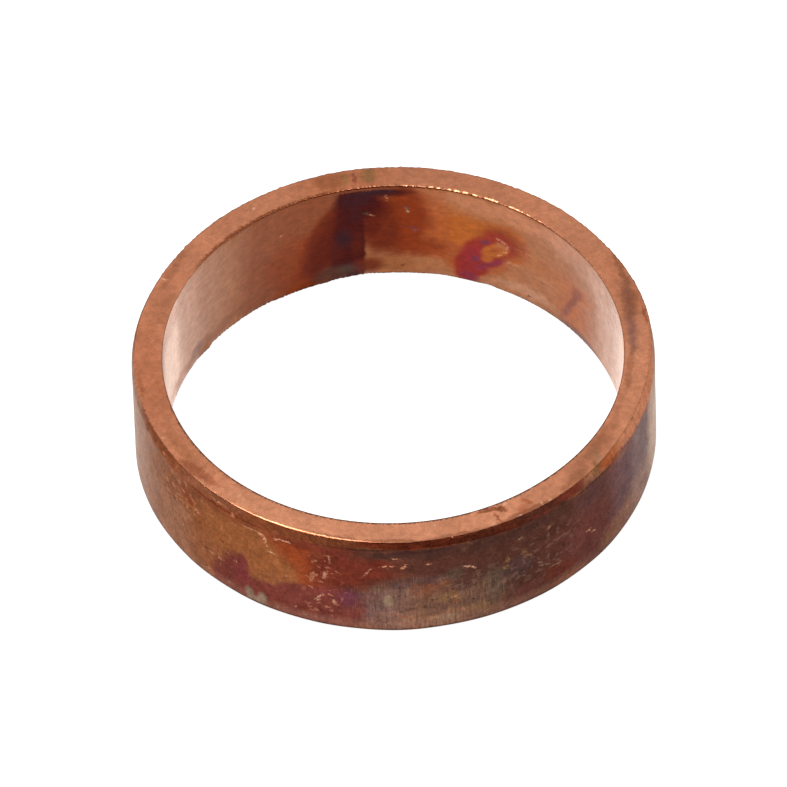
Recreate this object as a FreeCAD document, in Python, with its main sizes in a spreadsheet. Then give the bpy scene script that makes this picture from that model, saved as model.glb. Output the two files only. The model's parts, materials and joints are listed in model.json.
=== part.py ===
import FreeCAD, Part
import os
import Sketcher

# Copper ring washer: a short collar cut from drawn copper tube, with its cut ends faced,
# its upper outside corner turned to a steep bevel and its other corners only broken.
# It is one piece of metal, so the document holds one sub-part.
#
# Frame: millimetres, +Z along the ring's axis.  The origin is the centre of the face it
# stands on, so the ring runs from Z = 0 up to ring_height.

# Driving dimensions: alias, value in millimetres, what it is.
DIMENSIONS = [
    ("outer_diameter", 25.0, "outside of the tube"),
    ("bore_diameter", 22.0, "inside of the tube"),
    ("ring_height", 6.0, "length that the tube was cut to"),
    ("bevel_width", 0.20, "radial width of the upper outside bevel"),
    ("bevel_depth", 0.44, "axial depth of the upper outside bevel"),
    ("lower_round", 0.25, "radius of the lower outside corner"),
    ("bore_break", 0.06, "size of the broken corners at both ends of the bore"),
]

# Which end of a sketch line or arc a constraint takes.
START = 1
END = 2
# The sketch's own origin and horizontal axis, as the Sketcher numbers them.
AXES = -1
WHOLE_TURN = 360.0


def make_sheet(doc):
    """The spreadsheet of driving dimensions, one named cell each."""
    sheet = doc.addObject("Spreadsheet::Sheet", "Dimensions")
    for row, (alias, value, meaning) in enumerate(DIMENSIONS, start=1):
        sheet.set("A%d" % row, meaning)
        sheet.set("B%d" % row, str(value))
        sheet.setAlias("B%d" % row, alias)
    doc.recompute()
    return sheet


def origin_plane(body, role):
    """One of the body's own origin planes, such as XZ_Plane."""
    return [plane for plane in body.Origin.OriginFeatures if plane.Role == role][0]


def first_guess(sheet):
    """Corner points of half the ring's section, walked anticlockwise from the bore's foot.

    In the sketch, X is the distance from the axis and Y is the height.
    """
    inner = sheet.bore_diameter / 2
    outer = sheet.outer_diameter / 2
    top = sheet.ring_height
    corner = sheet.bore_break
    points = [
        (inner + corner, 0),
        (outer - sheet.lower_round, 0),
        (outer, sheet.lower_round),
        (outer, top - sheet.bevel_depth),
        (outer - sheet.bevel_width, top),
        (inner + corner, top),
        (inner, top - corner),
        (inner, corner),
    ]
    return [FreeCAD.Vector(x, y, 0) for x, y in points]


def draw_section(sketch, sheet):
    """Seven lines and the arc of the lower outside corner, joined end to end."""
    points = first_guess(sheet)
    lines = {}
    for name, first, last in [
        ("foot", 0, 1),
        ("outside", 2, 3),
        ("bevel", 3, 4),
        ("top", 4, 5),
        ("upper_break", 5, 6),
        ("bore", 6, 7),
        ("lower_break", 7, 0),
    ]:
        lines[name] = sketch.addGeometry(Part.LineSegment(points[first], points[last]), False)
    radius = sheet.lower_round
    centre = FreeCAD.Vector(points[1].x, radius, 0)
    halfway = centre + FreeCAD.Vector(1, -1, 0).normalize() * radius
    lines["corner"] = sketch.addGeometry(Part.Arc(points[1], halfway, points[2]), False)
    return lines


def join_section(sketch, lines):
    """Close the outline, and keep its straight sides level or upright."""
    add = sketch.addConstraint
    add(Sketcher.Constraint("Tangent", lines["foot"], END, lines["corner"], START))
    add(Sketcher.Constraint("Tangent", lines["corner"], END, lines["outside"], START))
    ring = ["outside", "bevel", "top", "upper_break", "bore", "lower_break", "foot"]
    for one, other in zip(ring, ring[1:]):
        add(Sketcher.Constraint("Coincident", lines[one], END, lines[other], START))
    for name in ("foot", "top"):
        add(Sketcher.Constraint("Horizontal", lines[name]))
    for name in ("outside", "bore"):
        add(Sketcher.Constraint("Vertical", lines[name]))
    add(Sketcher.Constraint("PointOnObject", lines["foot"], START, AXES))


def size_section(sketch, lines, sheet):
    """Give the outline its sizes, each bound to a cell of the spreadsheet."""
    def bind(kind, places, value, name, formula):
        number = sketch.addConstraint(Sketcher.Constraint(kind, *places, value))
        sketch.renameConstraint(number, name)
        sketch.setExpression("Constraints." + name, formula)

    bore = lines["bore"]
    outside = lines["outside"]
    bevel = lines["bevel"]
    upper = lines["upper_break"]
    lower = lines["lower_break"]
    corner = sheet.bore_break
    bind("DistanceX", (AXES, START, bore, START), sheet.bore_diameter / 2,
         "bore_radius", "Dimensions.bore_diameter / 2")
    bind("DistanceX", (AXES, START, outside, START), sheet.outer_diameter / 2,
         "outer_radius", "Dimensions.outer_diameter / 2")
    bind("DistanceY", (AXES, START, bevel, END), sheet.ring_height,
         "height", "Dimensions.ring_height")
    bind("DistanceX", (bevel, END, bevel, START), sheet.bevel_width,
         "bevel_width", "Dimensions.bevel_width")
    bind("DistanceY", (bevel, START, bevel, END), sheet.bevel_depth,
         "bevel_depth", "Dimensions.bevel_depth")
    bind("Radius", (lines["corner"],), sheet.lower_round,
         "lower_round", "Dimensions.lower_round")
    bind("DistanceX", (upper, END, upper, START), corner,
         "upper_break_width", "Dimensions.bore_break")
    bind("DistanceY", (upper, END, upper, START), corner,
         "upper_break_depth", "Dimensions.bore_break")
    bind("DistanceX", (lower, START, lower, END), corner,
         "lower_break_width", "Dimensions.bore_break")
    bind("DistanceY", (lower, END, lower, START), corner,
         "lower_break_depth", "Dimensions.bore_break")


def make_copper_ring(doc, sheet):
    """The ring: half its section, turned once about the Z axis."""
    body = doc.addObject("PartDesign::Body", "copper_ring")
    body.Label = "copper_ring"
    section = body.newObject("Sketcher::SketchObject", "WallSection")
    section.AttachmentSupport = [(origin_plane(body, "XZ_Plane"), "")]
    section.MapMode = "FlatFace"
    lines = draw_section(section, sheet)
    join_section(section, lines)
    size_section(section, lines, sheet)
    doc.recompute()
    turned = body.newObject("PartDesign::Revolution", "TurnedRing")
    turned.Profile = section
    turned.ReferenceAxis = (section, ["V_Axis"])
    turned.Angle = WHOLE_TURN
    section.Visibility = False
    return body


def check_document(doc, bodies):
    """Stop if anything failed to build, or if a sub-part isn't one sound solid."""
    for item in doc.Objects:
        if "Invalid" in item.State or "Error" in item.State:
            raise RuntimeError("%s did not build: %s" % (item.Name, item.State))
    for body in bodies:
        shape = body.Shape
        if shape.isNull() or not shape.isValid() or len(shape.Solids) != 1:
            raise RuntimeError("%s is not one valid solid" % body.Label)


def main():
    doc = FreeCAD.newDocument("RingWasher")
    sheet = make_sheet(doc)
    bodies = [make_copper_ring(doc, sheet)]
    doc.recompute()
    check_document(doc, bodies)
    os.makedirs("parts", exist_ok=True)
    for body in bodies:
        body.Shape.exportStep(os.path.join("parts", body.Label + ".step"))
        box = body.Shape.optimalBoundingBox(False)
        print("%s: %.2f x %.2f x %.2f mm, %.2f mm3"
              % (body.Label, box.XLength, box.YLength, box.ZLength, body.Shape.Volume))


main()
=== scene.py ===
import json
import math

import bpy
import numpy as np
from mathutils import Matrix, Vector, noise


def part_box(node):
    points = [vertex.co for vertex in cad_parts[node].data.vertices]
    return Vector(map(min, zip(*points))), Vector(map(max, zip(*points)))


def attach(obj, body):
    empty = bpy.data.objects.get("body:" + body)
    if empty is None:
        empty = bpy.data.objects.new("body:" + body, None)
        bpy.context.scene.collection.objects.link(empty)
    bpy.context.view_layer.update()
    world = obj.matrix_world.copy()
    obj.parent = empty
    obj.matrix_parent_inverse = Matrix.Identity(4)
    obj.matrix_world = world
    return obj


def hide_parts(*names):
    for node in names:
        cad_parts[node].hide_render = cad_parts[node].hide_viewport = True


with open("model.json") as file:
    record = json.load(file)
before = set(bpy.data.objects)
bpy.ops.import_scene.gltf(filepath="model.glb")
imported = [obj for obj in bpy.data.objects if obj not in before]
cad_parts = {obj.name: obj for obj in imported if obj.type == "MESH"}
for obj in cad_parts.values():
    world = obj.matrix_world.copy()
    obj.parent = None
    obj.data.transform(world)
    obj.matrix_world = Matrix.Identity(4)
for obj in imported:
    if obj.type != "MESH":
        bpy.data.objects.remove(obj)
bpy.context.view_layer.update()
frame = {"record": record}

# A copper ring washer, cut from drawn tube and heat-stained.
# Lengths are in metres unless a name or comment says millimetres.
# Angles are in degrees round the ring, anticlockwise seen from above: 0 is +X, the right in
# the main view, 90 is the far side, 180 the left and 270 the near side.

MM = 0.001
NODE = "copper_ring"
BODY = "root"
RING_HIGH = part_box(NODE)[1]
MOUNTS = {mount["name"]: mount for mount in frame["record"]["mounts"]}

OUTER_MM = RING_HIGH[0] / MM
HEIGHT_MM = RING_HIGH[2] / MM
BORE_MM = MOUNTS["bore"]["dims"]["r_mm"]


# --- the ring's shape

SPOKES = 1440
# The finishes are made sector by sector.
SECTORS = 12
SECTOR_TURN = 360 // SECTORS
# The section is walked from the bore's foot, outwards along the base and up the outside.
# Each side follows the corner of the same row.  The numbers are how many points each has.
SECTION = [
    ("lower_lip", 4, "base", 3),
    ("foot", 5, "outside", 12),
    ("shoulder", 4, "bevel", 5),
    ("crown", 4, "crown_facet", 1),
    ("crown_rim", 3, "top", 6),
    ("lip_rim", 3, "lip_facet", 1),
    ("upper_lip", 4, "bore", 11),
]
# Which of the three finishes each stretch of the section wears.
OUTSIDE, ENDS, INSIDE = 0, 1, 2
FINISH = {
    "base": ENDS, "crown_facet": ENDS, "crown_rim": ENDS, "top": ENDS, "lip_rim": ENDS,
    "lip_facet": ENDS, "upper_lip": INSIDE, "bore": INSIDE, "lower_lip": INSIDE,
}
# How far a rubbed facet falls for each millimetre of its width.
FACET_FALL = 0.36
# How far the hand-worked top stands above the CAD ring's, in mm.
TOP_RISE = 0.045

# Where the reamer left small bright facets along the bore's upper lip, from angle to angle.
LIP_FACETS = [
    (44, 46), (47, 49.8), (51.4, 53.4), (54, 58.6), (61.2, 65.4), (67, 68.7), (69.4, 71.4),
    (71.7, 73.6), (74, 75.5), (76.6, 77.9), (78.4, 80), (81.1, 82.4), (83.5, 84.5),
    (85, 86.9), (92.6, 94.8),
]
# Where the bore's foot is torn inwards (positive) or rubbed away: angle, reach, mm.
FOOT_TEARS = [
    (64.5, 3, -0.05), (77, 6, -0.04), (96, 5, -0.05), (113, 11, 0.07), (107, 3, 0.04),
    (119, 3, 0.03), (144.2, 2.0, 0.07), (146.5, 2.5, 0.04), (133, 5, 0.01),
]


def ripple(angles, waves, seed):
    """An uneven line round the ring that meets itself: one random wave for each count."""
    dice = np.random.RandomState(seed)
    line = np.zeros_like(angles)
    for count in waves:
        line += dice.uniform(0.5, 1.0) * np.cos(count * angles + dice.uniform(0, 2 * np.pi))
    return line / np.sqrt(len(waves) / 2)


def apart(angles, centre):
    """Degrees from the centre angle, the short way round."""
    return np.abs((np.degrees(angles) - centre + 180) % 360 - 180)


def hump(angles, centre, reach):
    """1 at the centre angle, falling smoothly to 0 at the reach on each side."""
    return np.clip(1 - (apart(angles, centre) / reach) ** 2, 0, 1) ** 2


def facets(angles):
    """1 along each bright facet of the upper lip, 0 in the gaps, with short ramps between."""
    ramp = 0.5
    cover = np.zeros_like(angles)
    for first, last in LIP_FACETS:
        middle, half = (first + last) / 2, (last - first) / 2
        cover = np.maximum(cover, np.clip((half - apart(angles, middle)) / ramp + 0.5, 0, 1))
    return cover


def section_corners(angles):
    """The corners of the wall's section at each angle: radius, height, rounding, in mm.

    Each hump widens, deepens or rounds the edge round one angle.
    """
    flat = np.ones_like(angles)
    slow = ripple(angles, (3, 5, 8, 13, 21), seed=13)
    chipped = ripple(angles, range(25, 260, 13), seed=12)

    bevel_width = 0.17 + 0.03 * hump(angles, 255, 70) + 0.11 * hump(angles, 336, 34)
    bevel_width -= 0.1 * hump(angles, 10, 26) + 0.07 * hump(angles, 178, 32)
    bevel_width += 0.006 * chipped + 0.008 * slow
    bevel_depth = 0.5 - 0.12 * hump(angles, 276, 24) - 0.2 * hump(angles, 178, 36)
    bevel_depth += 0.02 * ripple(angles, (2, 3, 7, 12, 19, 31), seed=14) + 0.008 * chipped
    top = (HEIGHT_MM + TOP_RISE) * flat + 0.006 * ripple(angles, (2, 3, 5), seed=15)
    rubbed = 0.01 + 0.08 * hump(angles, 250, 24) + 0.02 * hump(angles, 230, 24)
    rubbed += 0.006 * chipped
    reamed = 0.02 + 0.03 * hump(angles, 106, 28)
    reamed += (0.09 + 0.02 * chipped) * hump(angles, 69, 36) * facets(angles)

    foot_round = 0.29 - 0.12 * hump(angles, 192, 22) + 0.03 * slow
    crown = OUTER_MM - bevel_width
    lip = BORE_MM + 0.02 + 0.05 * hump(angles, 335, 28)
    return {
        "lower_lip": (BORE_MM * flat, 0 * flat, 0.05 * flat),
        "foot": (OUTER_MM * flat, 0 * flat, foot_round),
        "shoulder": (OUTER_MM * flat, top - bevel_depth, 0.06 * flat),
        "crown": (crown, top - FACET_FALL * rubbed, 0.03 * flat),
        "crown_rim": (crown - rubbed, top, 0.01 * flat),
        "lip_rim": (lip + reamed, top, 0.01 * flat),
        "upper_lip": (lip, top - FACET_FALL * reamed, 0.05 - 0.03 * hump(angles, 140, 60)),
    }


def toward(start, end, distance):
    """The point a distance from start, on the way to end."""
    way = np.stack(end[:2]) - np.stack(start[:2])
    return np.stack(start[:2]) + way / np.hypot(*way) * distance


def corner_curve(before, here, after, count):
    """The points of one rounded corner, from the side before it to the side after."""
    first = toward(here, before, here[2])
    last = toward(here, after, here[2])
    corner = np.stack(here[:2])
    return [(1 - t) ** 2 * first + 2 * t * (1 - t) * corner + t ** 2 * last
            for t in np.linspace(0, 1, count)]


def section(angles):
    """Radius and height, in mm, of every section point at each angle, and each one's stretch.

    A side's points lie closer together near its ends, where the edges need them.
    """
    corners = section_corners(angles)
    curves = []
    for k, (name, count, _, _) in enumerate(SECTION):
        before = corners[SECTION[k - 1][0]]
        after = corners[SECTION[(k + 1) % len(SECTION)][0]]
        curves.append(corner_curve(before, corners[name], after, count))
    points, stretches = [], []
    for k, (name, _, side, count) in enumerate(SECTION):
        points += curves[k]
        stretches += [name] * len(curves[k])
        last, following = curves[k][-1], curves[(k + 1) % len(SECTION)][0]
        for t in np.linspace(0, 1, count + 2)[1:-1]:
            share = (1 - math.cos(math.pi * t)) / 2
            points.append((1 - share) * last + share * following)
            stretches.append(side)
    radius, height = np.stack(points, axis=1)
    return radius, height, stretches


def work_edges(angles, radius, height, stretches):
    """Tears, burr and nicks: small shifts that fade out within a fraction of a millimetre."""
    ragged = ripple(angles, range(61, 420, 17), seed=21)
    toothed = np.abs(ripple(angles, range(70, 300, 7), seed=22))
    tears = np.zeros_like(angles)
    for centre, reach, inwards in FOOT_TEARS:
        tears += inwards * hump(angles, centre, reach)
    tears += 0.012 * ragged * hump(angles, 115, 50) + 0.004 * ragged
    burred = hump(angles, 88, 60)
    broken = hump(angles, 122, 34)
    for row, stretch in enumerate(stretches):
        if stretch in ("bore", "lip_facet", "upper_lip", "lower_lip"):
            near_foot = np.exp(-(height[row] / 0.12) ** 2)
            near_top = np.exp(-((HEIGHT_MM - height[row]) / 0.1) ** 2)
            radius[row] -= tears * near_foot
            radius[row] += near_top * (0.016 * burred * ragged + 0.05 * broken * (toothed - 0.5))
        if stretch in ("top", "lip_rim", "lip_facet", "upper_lip"):
            near_lip = np.exp(-((radius[row] - BORE_MM) / 0.1) ** 2)
            height[row] += near_lip * 0.012 * burred * ragged


def unevenness(x, y, height):
    """How far, in mm, hand work has left a point of the wall proud of the true cylinder."""
    near = Vector((x, y, height))
    dents = noise.fractal(near * 0.45, 0.8, 2.0, 3)
    grain = noise.fractal(near * 2.1, 0.7, 2.0, 2)
    return 0.012 * dents + 0.003 * grain


def wear(angles, radius, height, stretches):
    """Shallow dents over the sides, the ends left nearly flat."""
    for row, stretch in enumerate(stretches):
        if stretch in ("outside", "bore", "bevel", "top"):
            x, y = radius[row] * np.cos(angles), radius[row] * np.sin(angles)
            dent = np.array([unevenness(*place) for place in zip(x, y, height[row])])
            if stretch == "top":
                height[row] += 0.3 * dent
            else:
                radius[row] += dent


def make_ring():
    """The ring as one closed mesh: its section walked round the spokes."""
    angles = np.linspace(0, 2 * np.pi, SPOKES, endpoint=False)
    radius, height, stretches = section(angles)
    work_edges(angles, radius, height, stretches)
    wear(angles, radius, height, stretches)
    rows = len(stretches)
    points = np.stack([radius * np.cos(angles), radius * np.sin(angles), height], axis=-1)
    row = np.arange(rows)[:, None]
    spoke = np.arange(SPOKES)[None, :]
    next_row = (row + 1) % rows
    next_spoke = (spoke + 1) % SPOKES
    faces = np.stack(
        [row * SPOKES + spoke, row * SPOKES + next_spoke,
         next_row * SPOKES + next_spoke, next_row * SPOKES + spoke], axis=-1)
    mesh = bpy.data.meshes.new("ring_washer")
    mesh.from_pydata((points * MM).reshape(-1, 3).tolist(), [], faces.reshape(-1, 4).tolist())
    mesh.polygons.foreach_set("use_smooth", [True] * len(mesh.polygons))
    finishes = np.array([FINISH.get(name, OUTSIDE) for name in stretches])
    sectors = np.arange(SPOKES) * SECTORS // SPOKES
    slots = finishes[:, None] * SECTORS + sectors[None, :]
    mesh.polygons.foreach_set("material_index", slots.ravel().astype(np.int32))
    ring = bpy.data.objects.new("ring_washer", mesh)
    bpy.context.scene.collection.objects.link(ring)
    return ring


# --- shader tools

# How bright a mirror would look under this light, on average.
LIGHT_LEVEL = 1.1

# How each tone of the metal looks in the picture, red, green and blue from 0 to 255.
TONES = {
    "peach": (226, 170, 140), "pale_pink": (248, 205, 180), "blush": (226, 182, 158),
    "bisque": (222, 188, 163), "rose": (214, 158, 128), "shell": (194, 142, 114),
    "fawn": (194, 152, 127), "clean": (206, 138, 104), "salmon": (193, 125, 92),
    "dust": (188, 142, 119), "tan": (168, 116, 88), "fox": (162, 101, 65),
    "sand": (166, 140, 112), "hazel": (155, 102, 73), "golden": (148, 88, 52),
    "ochre": (136, 100, 62), "amber": (168, 88, 34), "orange": (158, 78, 40),
    "rust": (126, 48, 17), "brown": (142, 86, 60), "chestnut": (130, 69, 42),
    "brick": (110, 47, 34), "sorrel": (104, 37, 16), "russet": (90, 27, 12),
    "ember": (143, 62, 32), "fired": (126, 55, 34),
    "dark_brown": (98, 44, 28), "soot_and_shadow": (60, 30, 24), "maroon": (86, 49, 39),
    "umber": (74, 45, 37), "wine": (68, 16, 13), "garnet": (143, 46, 32),
    "crimson": (140, 40, 42), "magenta": (124, 42, 60), "plum": (119, 58, 49),
    "berry": (103, 58, 50), "dusk": (91, 57, 53), "violet": (96, 50, 78),
    "mauve": (114, 80, 80), "lilac": (134, 104, 100), "slate": (74, 58, 58),
    "blue_black": (52, 25, 32), "steel": (84, 84, 90), "olive": (82, 74, 58),
    "sage": (136, 120, 100), "drab": (110, 76, 60), "dove": (123, 90, 78),
}


def tone(name):
    """The metal's own colour, in linear light, for one of the tones above."""
    def linear(value):
        """The standard sRGB curve, undone."""
        value /= 255
        return value / 12.92 if value <= 0.04045 else ((value + 0.055) / 1.055) ** 2.4
    return tuple(linear(value) / LIGHT_LEVEL for value in TONES[name])


# The numbers of a Mix node's colour sockets, among those for other kinds of value.
FIRST_COLOUR, SECOND_COLOUR, MIXED_COLOUR = 6, 7, 2
# How soft the rim of a mark or a scuff is, and how far, in mm, the warp can move it.
MARK_SOFT, MARK_DRIFT = 0.55, 0.2
SCUFF_SOFT, SCUFF_DRIFT = 0.4, 0.8


class Finish:
    """One finish over one sector of the ring, and the shader maths that it is built from.

    Lengths are in millimetres.  A shader can hold only some eighty stains, so each sector has a
    material of its own with the stains that reach it, and neighbours agree where they meet.
    """

    def __init__(self, name, sector, surface_mm, on_end=False):
        self.middle = (sector + 0.5) * SECTOR_TURN
        self.material = bpy.data.materials.new("%s_%03d" % (name, sector * SECTOR_TURN))
        self.material.use_nodes = True
        self.tree = self.material.node_tree
        self.shader = self.tree.nodes["Principled BSDF"]
        self.surface_mm = surface_mm
        self.on_end = on_end
        place = self.node("ShaderNodeTexCoord").outputs["Object"]
        self.place = self.vector("SCALE", place, scale=1 / MM)
        parts = self.node("ShaderNodeSeparateXYZ")
        self.feed(parts.inputs[0], self.place)
        self.across, self.height = parts.outputs["Y"], parts.outputs["Z"]
        self.radius = self.vector("LENGTH", self.stretched(self.place, (1, 1, 0)))
        self.wavy = self.warped(self.place, ((0.5, 0.8), (1.8, 0.5), (6.0, 0.22)))
        self.close = self.warped(self.place, ((2.5, 0.16), (9.0, 0.1)))
        self.crisp = self.warped(self.place, ((5.0, 0.22), (14.0, 0.08)))
        self.broken = self.ranged(self.cloud(self.place, 9.0, 3.0, 0.7), 0.4, 0.56)

    def node(self, kind, **settings):
        made = self.tree.nodes.new(kind)
        for name, value in settings.items():
            setattr(made, name, value)
        return made

    def feed(self, socket, value):
        if isinstance(value, bpy.types.NodeSocket):
            self.tree.links.new(value, socket)
        else:
            socket.default_value = value

    def maths(self, operation, first, second):
        made = self.node("ShaderNodeMath", operation=operation)
        self.feed(made.inputs[0], first)
        self.feed(made.inputs[1], second)
        return made.outputs[0]

    def times(self, first, second):
        return self.maths("MULTIPLY", first, second)

    def plus(self, first, second):
        return self.maths("ADD", first, second)

    def vector(self, operation, first, second=None, scale=None):
        made = self.node("ShaderNodeVectorMath", operation=operation)
        self.feed(made.inputs[0], first)
        if second is not None:
            self.feed(made.inputs[1], second)
        if scale is not None:
            self.feed(made.inputs["Scale"], scale)
        return made.outputs["Value" if operation == "LENGTH" else "Vector"]

    def stretched(self, place, scale):
        return self.vector("MULTIPLY", place, scale)

    def cloud(self, place, scale, detail=3.0, rough=0.55, colour=False):
        """Soft noise, about 0.5; scale is patches per millimetre."""
        made = self.node("ShaderNodeTexNoise")
        self.feed(made.inputs["Vector"], place)
        self.feed(made.inputs["Scale"], scale)
        self.feed(made.inputs["Detail"], detail)
        self.feed(made.inputs["Roughness"], rough)
        return made.outputs["Color" if colour else "Fac"]

    def ranged(self, value, low, high, to_low=0.0, to_high=1.0):
        """A smooth step from to_low, where the value is low, to to_high."""
        made = self.node("ShaderNodeMapRange", interpolation_type="SMOOTHSTEP")
        for name, number in (("Value", value), ("From Min", low), ("From Max", high),
                             ("To Min", to_low), ("To Max", to_high)):
            self.feed(made.inputs[name], number)
        return made.outputs["Result"]

    def mixed(self, share, first, second):
        made = self.node("ShaderNodeMix", data_type="RGBA")
        self.feed(made.inputs["Factor"], share)
        for socket, value in ((FIRST_COLOUR, first), (SECOND_COLOUR, second)):
            self.feed(made.inputs[socket], (*tone(value), 1) if isinstance(value, str) else value)
        return made.outputs[MIXED_COLOUR]

    def warped(self, place, layers):
        """The place, pushed about by noise: each layer is patches per mm and reach in mm."""
        for scale, reach in layers:
            push = self.cloud(place, scale, 1.0, colour=True)
            push = self.vector("SUBTRACT", push, (0.5, 0.5, 0.5))
            place = self.vector("ADD", place, self.vector("SCALE", push, scale=reach))
        return place

    def film(self, stops):
        """Heat tint: broad noise, as the thickness of an oxide film, turned into its colours."""
        thickness = self.cloud(self.warped(self.place, ((0.25, 3.0), (1.2, 0.8))), 0.16, 3.0, 0.6)
        made = self.node("ShaderNodeValToRGB")
        self.feed(made.inputs["Fac"], thickness)
        ramp = made.color_ramp
        while len(ramp.elements) < len(stops):
            ramp.elements.new(0.5)
        for element, (level, name) in zip(ramp.elements, stops):
            element.position = level
            element.color = (*tone(name), 1)
        return made.outputs["Color"]

    def away(self, place, angle, across, wide, tall, tilt=0.0):
        """Distance from an oval's centre: 1 on the oval itself.

        across is the height on a wall, or the radius on an end; wide is along the ring.
        """
        deep = 4.0
        turn = math.radians(angle)
        made = self.node("ShaderNodeMapping", vector_type="TEXTURE")
        self.feed(made.inputs["Vector"], place)
        if self.on_end:
            spot = (across * math.cos(turn), across * math.sin(turn), self.surface_mm)
            made.inputs["Rotation"].default_value = (0, 0, turn + math.radians(tilt))
            made.inputs["Scale"].default_value = (tall, wide, deep)
        else:
            spot = (self.surface_mm * math.cos(turn), self.surface_mm * math.sin(turn), across)
            made.inputs["Rotation"].default_value = (math.radians(tilt), 0, turn)
            made.inputs["Scale"].default_value = (deep, wide, tall)
        made.inputs["Location"].default_value = spot
        return self.vector("LENGTH", made.outputs["Vector"])

    def reached_by(self, angle, across, wide, tall, tilt, soft, drift):
        """True if an oval with a soft rim, drifting by that much in mm, comes into the sector."""
        radius = across if self.on_end else self.surface_mm
        reach = max(wide, tall) * (1 + soft) + drift
        apart = abs((angle - self.middle + 180) % 360 - 180)
        return apart < SECTOR_TURN / 2 + math.degrees(reach / radius)

    def stains(self, colour, rows, place, drift):
        """Lays oval stains over the colour so far, their rims as irregular as the place is warped.

        Each row is a tone, the oval (angle, height or radius, half width, half height, tilt),
        how far it covers and how soft its rim is.
        """
        for name, *oval, share, soft in rows:
            if self.reached_by(*oval, soft, drift):
                cover = self.ranged(self.away(place, *oval), 1 - soft, 1 + soft, share, 0.0)
                colour = self.mixed(cover, colour, name)
        return colour

    def marks(self, colour, tones):
        """Lays small sharp marks, such as scratches, chips and specks, broken up by fine noise.

        Each tone has a list of marks: the oval, as for stains, and how far it covers.
        """
        for name, marks in tones.items():
            for *oval, share in marks:
                if self.reached_by(*oval, MARK_SOFT, MARK_DRIFT):
                    away = self.away(self.crisp, *oval)
                    cover = self.ranged(away, 1 - MARK_SOFT, 1 + MARK_SOFT, share, 0.0)
                    colour = self.mixed(self.times(cover, self.broken), colour, name)
        return colour

    def patches(self, ovals):
        """1 inside any of the ovals, fading to 0 outside them."""
        cover = 0.0
        for oval in ovals:
            if self.reached_by(*oval, 0, SCUFF_SOFT, SCUFF_DRIFT):
                away = self.away(self.wavy, *oval)
                inside = self.ranged(away, 1 - SCUFF_SOFT, 1 + SCUFF_SOFT, 1.0, 0.0)
                cover = self.maths("MAXIMUM", cover, inside)
        return cover

    def shaded(self, colour, pattern, strength):
        """The colour, darker where the pattern is low and brighter where it is high."""
        share = self.ranged(pattern, 0.3, 0.7, 1 - strength, 1 + strength)
        return self.vector("SCALE", colour, scale=share)

    def mottled(self, colour, layers):
        """The colour shaded by clouds: each layer is a cloud's three numbers and a strength."""
        for *cloud, strength in layers:
            colour = self.shaded(colour, self.cloud(self.place, *cloud), strength)
        return colour

    def flecked(self, colour, name, stretch, low, share, seed=0.0):
        """Random flecks all over, drawn out along the axes where stretch is small."""
        place = self.vector("ADD", self.stretched(self.crisp, stretch), (seed, seed, seed))
        flecks = self.cloud(place, 1.0, 2.0, 0.5)
        return self.mixed(self.ranged(flecks, low, low + 0.06, 0, share), colour, name)

    def finish(self, colour, roughness, height, bump_mm, edge_tint):
        self.feed(self.shader.inputs["Base Color"], colour)
        self.feed(self.shader.inputs["Roughness"], roughness)
        self.shader.inputs["Metallic"].default_value = 1
        self.shader.inputs["Specular Tint"].default_value = (edge_tint, edge_tint, edge_tint, 1)
        bump = self.node("ShaderNodeBump")
        bump.inputs["Strength"].default_value = 1
        bump.inputs["Distance"].default_value = bump_mm * MM
        self.feed(bump.inputs["Height"], height)
        self.feed(self.shader.inputs["Normal"], bump.outputs["Normal"])
        return self.material


# --- the outside

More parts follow.
